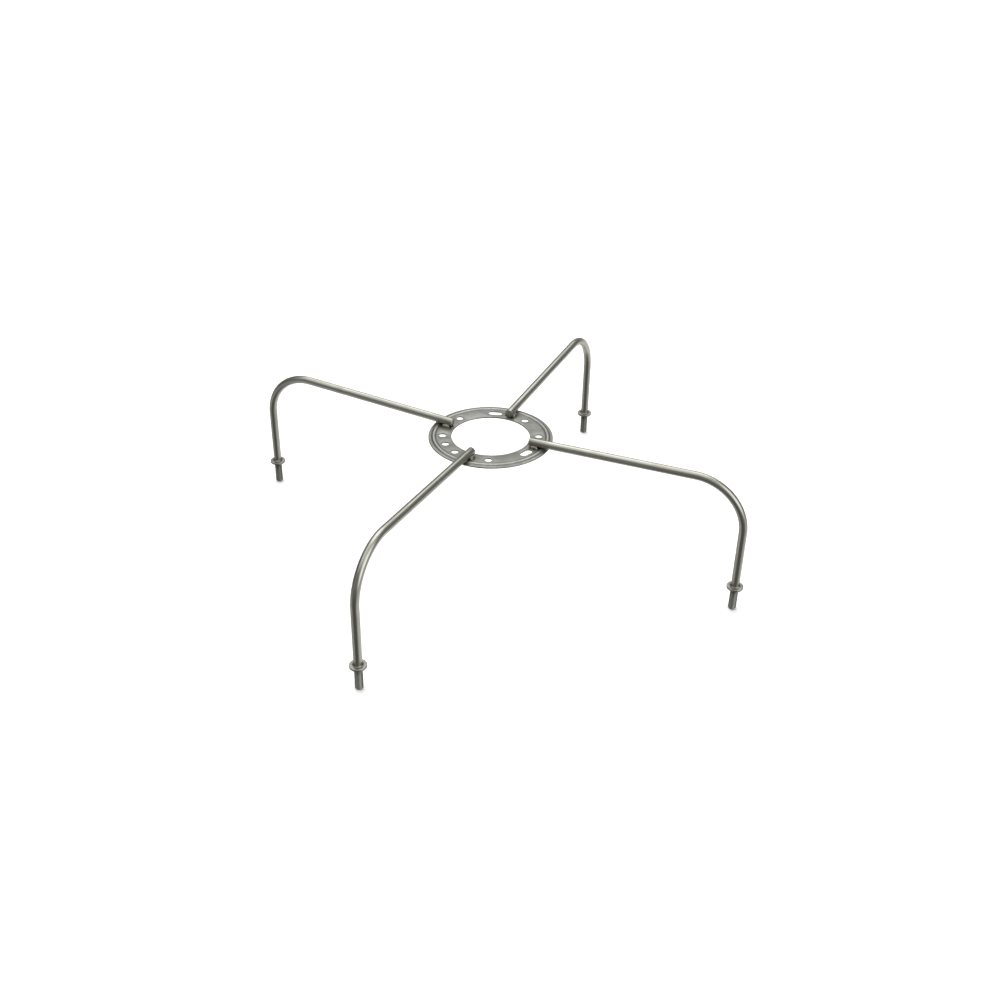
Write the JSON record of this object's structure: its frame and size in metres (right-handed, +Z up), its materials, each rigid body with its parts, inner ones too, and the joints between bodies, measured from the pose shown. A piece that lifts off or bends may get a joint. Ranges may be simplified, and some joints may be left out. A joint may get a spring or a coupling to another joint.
{
  "type": "burner stand",
  "caption": "Low steel burner stand: a drilled, beaded centre ring welded on bent round-bar legs, each with a stop collar and a threaded foot.",
  "frame": {"origin": "centre of the base, on the plane of the stud tips, under the centre of the ring", "axes": "+Z up along the ring's bore; the legs stand on the +X, +Y, -X and -Y axes"},
  "size_m": [0.639, 0.639, 0.1655],
  "materials": {
    "ring_sheet": "dull satin sheet, lightly scratched",
    "round_bar": "drawn bar, satin to semi-bright, darker cut threads",
    "collar_steel": "satin",
    "weld": "rippled weld metal with straw and brown heat tint"
  },
  "bodies": {
    "root": {"ring": "ring_sheet", "leg_right": "round_bar", "leg_back": "round_bar", "leg_left": "round_bar", "leg_front": "round_bar", "arm_weld_right": "weld", "arm_weld_back": "weld", "arm_weld_left": "weld", "arm_weld_front": "weld", "collar_right": "collar_steel", "collar_back": "collar_steel", "collar_left": "collar_steel", "collar_front": "collar_steel", "collar_weld_right": "weld", "collar_weld_back": "weld", "collar_weld_left": "weld", "collar_weld_front": "weld"}
  },
  "joints": []
}
